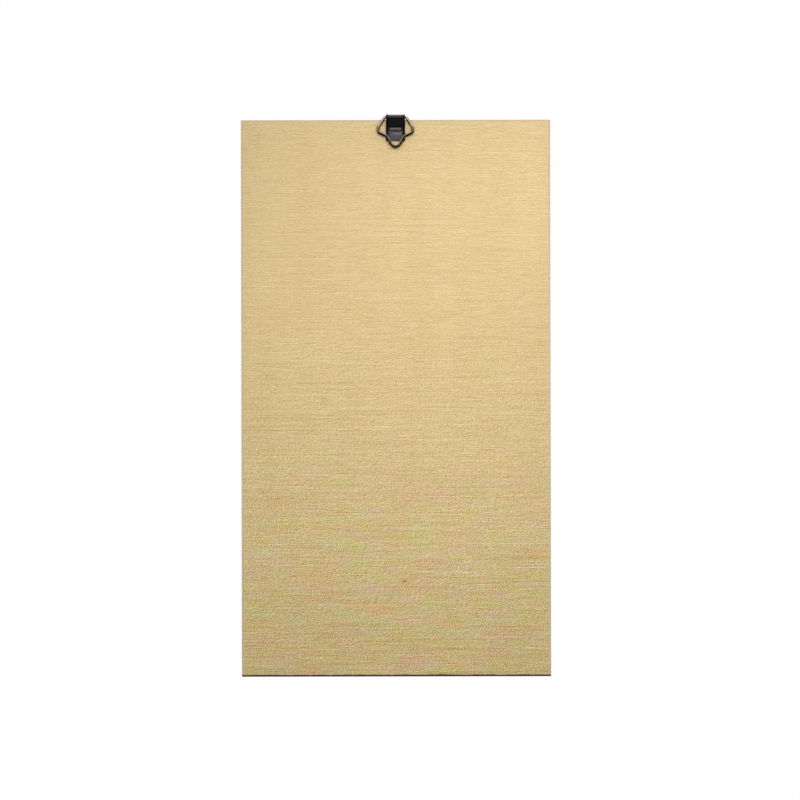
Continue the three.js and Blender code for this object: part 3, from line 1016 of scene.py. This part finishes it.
def floor_finish(stage):
    """A plain pale floor, lit near the board and of an even shade beyond the lamps' reach."""
    f = Finish("floor", Specular_IOR_Level=0.2, Roughness=0.8)
    clouds = f.noise((0.3, 0.3, 0.3), detail=2.0)
    shade = f.brighten(stage.floor, f.plus(1.0, f.times(clouds, 0.02)))
    beyond = f.times(f.fade(f.hypotenuse(f.x, f.y), *EVEN_FLOOR_FADE), rays_that_see(f.tree))
    f.feed(f.shader.inputs["Emission Color"], shade)
    f.feed(f.shader.inputs["Emission Strength"], beyond)
    return f.paint(f.brighten(shade, f.rest(beyond)))


def add_floor(stage):
    """A round pale floor under the board's bottom edge."""
    mesh = bmesh.new()
    bmesh.ops.create_circle(
        mesh, cap_ends=True, segments=FLOOR_SIDES, radius=FLOOR_RADIUS,
        matrix=Matrix.Translation((0, 0, BOARD_LOW.z)),
    )
    data = mesh_data(mesh, "Floor")
    data.materials.append(floor_finish(stage))
    floor = add_to_scene("Floor", data)


def add_lamp(name, place, target, width, height, spread, power):
    """A soft rectangular lamp that points at a target."""
    data = bpy.data.lights.new(name, "AREA")
    data.shape = "RECTANGLE"
    data.size = width
    data.size_y = height
    data.spread = math.radians(spread)
    data.energy = power
    lamp = add_to_scene(name, data)
    lamp.location = place
    lamp.rotation_mode = "QUATERNION"
    lamp.rotation_quaternion = (Vector(target) - Vector(place)).to_track_quat("-Z", "Y")


def light_the_room(stage):
    """Even light all round, which the camera and anything shiny see as plain white."""
    world = bpy.data.worlds.new("Room")
    world.use_nodes = True
    bpy.context.scene.world = world
    tree = world.node_tree
    background = tree.nodes["Background"]
    background.inputs["Color"].default_value = (1, 1, 1, 1)
    strength = tree.nodes.new("ShaderNodeMapRange")
    tree.links.new(rays_that_see(tree), strength.inputs["Value"])
    strength.inputs["To Min"].default_value = stage.room
    strength.inputs["To Max"].default_value = 1.0
    tree.links.new(strength.outputs["Result"], background.inputs["Strength"])


def add_camera():
    """A camera square on to the back, with the board where the photograph has it."""
    pixel = (BOARD_HIGH.x - BOARD_LOW.x) / BOARD_WIDTH_PX
    right_px = PHOTO_SIDE / 2 - BOARD_CENTRE_PX[0]
    down_px = BOARD_CENTRE_PX[1] - PHOTO_SIDE / 2
    data = bpy.data.cameras.new("Camera")
    data.type = "ORTHO"
    data.ortho_scale = PHOTO_SIDE * pixel
    camera = add_to_scene("Camera", data)
    camera.location = (-right_px * pixel, CAMERA_DISTANCE, down_px * pixel)
    camera.rotation_mode = "QUATERNION"
    camera.rotation_quaternion = (-Y).to_track_quat("-Z", "Y") @ Quaternion(Z, -BOARD_ROLL)
    bpy.context.scene.camera = camera


class PLAQUE_OT_stage(bpy.types.Operator):
    """Set up the floor, the light and the camera"""

    bl_idname = "plaque.stage"
    bl_label = "Stage"

    def execute(self, context):
        stage = context.scene.plaque.stage
        context.scene.view_settings.view_transform = "Standard"
        add_floor(stage)
        add_lamp(
            "Key", place=(-0.04, 0.3, 0.2), target=(-0.055, 0, -0.035),
            width=0.3, height=0.1, spread=100, power=stage.key_power,
        )
        add_lamp(
            "Fill", place=(0.3, -1.0, 0.7), target=(0, 0, 0),
            width=1.2, height=1.0, spread=180, power=stage.fill_power,
        )
        add_lamp(
            "Top", place=(0, 0, 1.3), target=(0, 0, 0),
            width=2.4, height=2.4, spread=180, power=stage.top_power,
        )
        light_the_room(stage)
        add_camera()
        return {"FINISHED"}


class PLAQUE_PT_panel(bpy.types.Panel):
    """The plaque's pieces and their settings"""

    bl_label = "Wall Plaque"
    bl_idname = "PLAQUE_PT_panel"
    bl_space_type = "VIEW_3D"
    bl_region_type = "UI"
    bl_category = "Plaque"

    def draw(self, context):
        settings = context.scene.plaque
        for operator in OPERATORS:
            self.layout.operator(operator.bl_idname)
        for group in (settings.board, settings.grain, settings.card, settings.hanger, settings.stage):
            box = self.layout.box()
            for name in group.__annotations__:
                box.prop(group, name)


SETTINGS = (
    PlaqueBoardSettings,
    PlaqueGrainSettings,
    PlaqueCardSettings,
    PlaqueHangerSettings,
    PlaqueStageSettings,
    PlaqueSettings,
)
OPERATORS = (
    PLAQUE_OT_core_board,
    PLAQUE_OT_back_veneer,
    PLAQUE_OT_front_veneer,
    PLAQUE_OT_front_print,
    PLAQUE_OT_hanger_strap,
    PLAQUE_OT_hanger_staple,
    PLAQUE_OT_hanger_ring,
    PLAQUE_OT_stage,
)
CLASSES = (*SETTINGS, *OPERATORS, PLAQUE_PT_panel)


def register():
    for each in CLASSES:
        bpy.utils.register_class(each)
    bpy.types.Scene.plaque = PointerProperty(type=PlaqueSettings)


def unregister():
    del bpy.types.Scene.plaque
    for each in reversed(CLASSES):
        bpy.utils.unregister_class(each)


def main():
    register()
    bpy.ops.plaque.core_board()
    bpy.ops.plaque.back_veneer()
    bpy.ops.plaque.front_veneer()
    bpy.ops.plaque.front_print()
    bpy.ops.plaque.hanger_strap()
    bpy.ops.plaque.hanger_staple()
    bpy.ops.plaque.hanger_ring()
    bpy.ops.plaque.stage()


if __name__ == "__main__":
    main()
